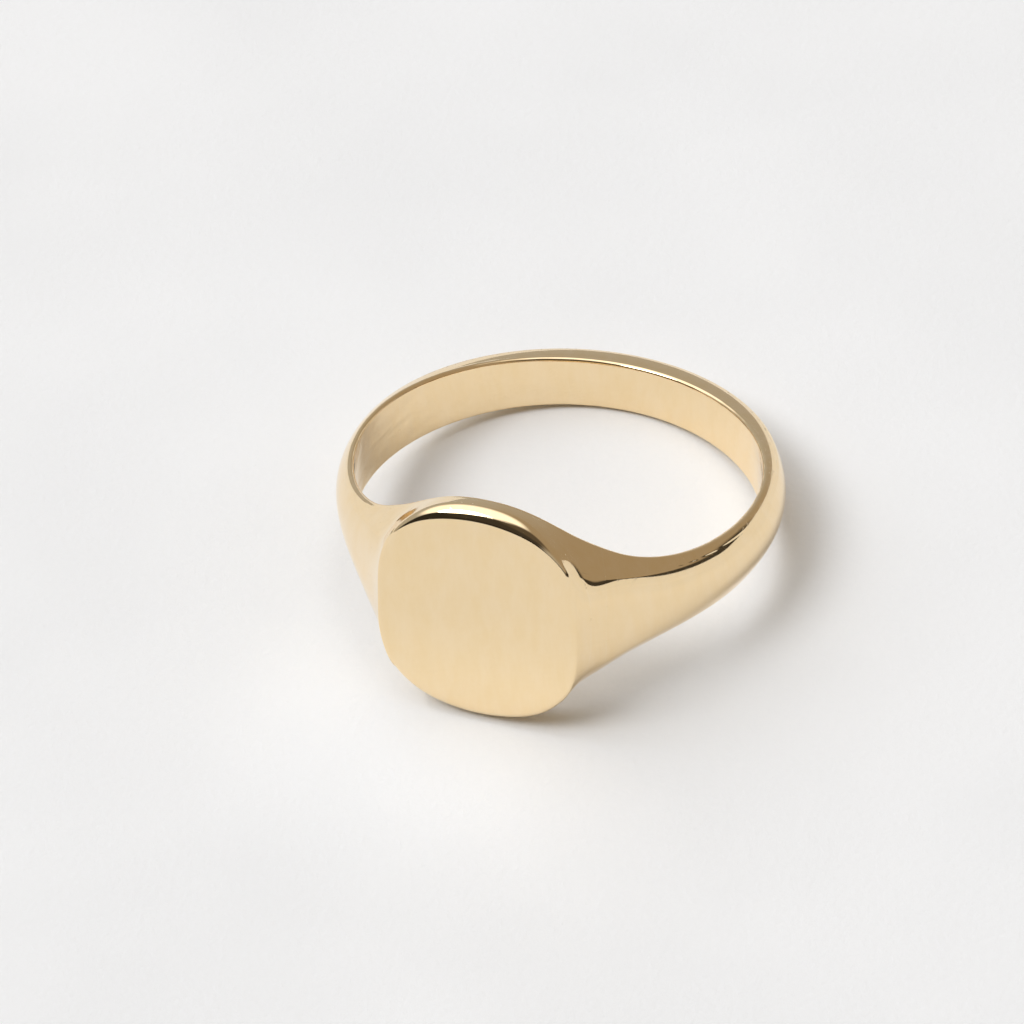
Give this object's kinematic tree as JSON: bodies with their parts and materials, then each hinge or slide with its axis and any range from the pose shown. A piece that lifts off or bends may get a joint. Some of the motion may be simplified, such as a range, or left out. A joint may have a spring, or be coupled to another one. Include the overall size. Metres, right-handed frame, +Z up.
{
  "type": "signet ring",
  "caption": "Plain cushion signet ring in polished yellow gold: a flat face plate on a saddle-shaped head, tapered shoulders and a slim half-round shank, lying on its side",
  "frame": {"origin": "middle of the ring's footprint, on the surface it lies on", "axes": "+Z up off that surface, -Y toward the ring's face and +Y toward the back of the shank, +X to the right as the face is seen"},
  "size_m": [0.019, 0.0204, 0.0101],
  "materials": {
    "gold": "high polish, pale yellow gold alloy",
    "solder": "high polish, hard gold solder flush with the metal round it"
  },
  "bodies": {
    "root": {"face_plate": "gold", "head_block": "gold", "left_shoulder": "gold", "right_shoulder": "gold", "shank_back": "gold", "plate_solder": "solder", "left_head_solder": "solder", "right_head_solder": "solder", "left_shank_solder": "solder", "right_shank_solder": "solder"}
  },
  "joints": []
}
